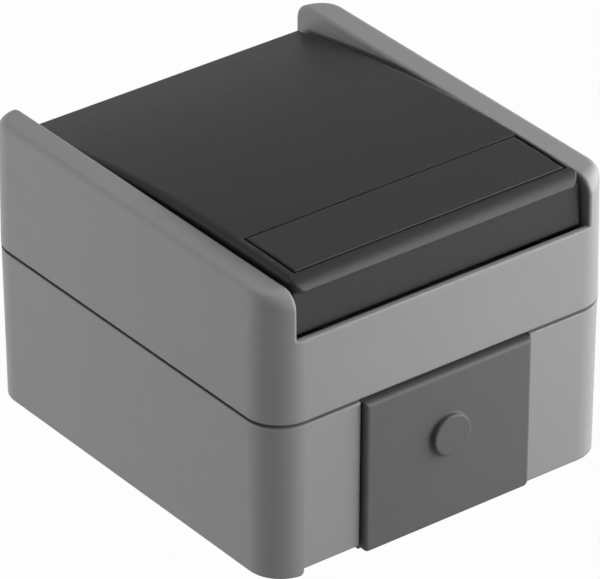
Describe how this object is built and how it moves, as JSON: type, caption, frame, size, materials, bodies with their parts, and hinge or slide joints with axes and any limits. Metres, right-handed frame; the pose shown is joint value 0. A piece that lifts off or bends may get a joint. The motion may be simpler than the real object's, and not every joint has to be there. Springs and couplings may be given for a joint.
{
  "type": "outdoor weatherproof rocker switch",
  "caption": "Surface-mounted splash-proof switch: grey box and cover with high cheeks beside a wide dark rocker with a label strip, and a blind cable entry plate at the end.",
  "frame": {"origin": "centre of the wall face, between the fixing slots", "axes": "+Z points out of the wall, -Y towards the cable entry plate, +X to the right with the rocker facing the viewer and the cable entry down"},
  "size_m": [0.075, 0.0867, 0.0582],
  "materials": {
    "housing_grey": "fine moulded grain",
    "rocker_dark": "fine moulded grain",
    "entry_grey": "matt, soft",
    "seal_black": "matt",
    "insert_white": "smooth moulded",
    "brass": "stamped, bare",
    "steel": "zinc plated",
    "contact_silver": "smooth"
  },
  "bodies": {
    "housing": {"base_box": "housing_grey", "cover_frame": "housing_grey", "housing_gasket": "seal_black", "cable_entry_plate": "entry_grey", "switch_base": "insert_white", "switch_cap": "insert_white", "cap_screws": "steel", "mechanism_screws": "steel", "turret_seal": "seal_black", "cover_screws": "steel", "cover_screw_seals": "seal_black", "fixed_contact_tips": "contact_silver", "front_contact": "brass", "back_contact": "brass", "common_terminal": "brass", "terminal_clamps": "brass", "terminal_screws": "steel", "earth_terminal": "brass", "earth_screws": "steel"},
    "rocker_body": {"rocker": "rocker_dark", "label_insert": "rocker_dark", "rocker_yoke": "insert_white", "plunger_spring": "steel"},
    "plunger_body": {"plunger": "insert_white"},
    "contact_body": {"contact_rocker": "brass", "moving_contact_tips": "contact_silver"}
  },
  "joints": [
    {"name": "rocker_tilt", "type": "hinge", "parent": "housing", "child": "rocker_body", "pos_m": [0, 0, 0.0476], "axis": [1, 0, 0], "range_deg": [0, 9]},
    {"name": "plunger_slide", "type": "slide", "parent": "rocker_body", "child": "plunger_body", "axis": [0, 0.0785, 0.9969], "range_m": [0, 0.0008], "stiffness_N_per_m": 800, "springref_m": -0.003, "deforming": ["plunger_spring"]},
    {"name": "contact_flip", "type": "hinge", "parent": "housing", "child": "contact_body", "pos_m": [0, 0, 0.01998], "axis": [1, 0, 0], "range_deg": [-16, 0]}
  ],
  "couplings": [
    {"joint": "contact_flip", "follows": "rocker_tilt", "ratio": -1.7777}
  ]
}
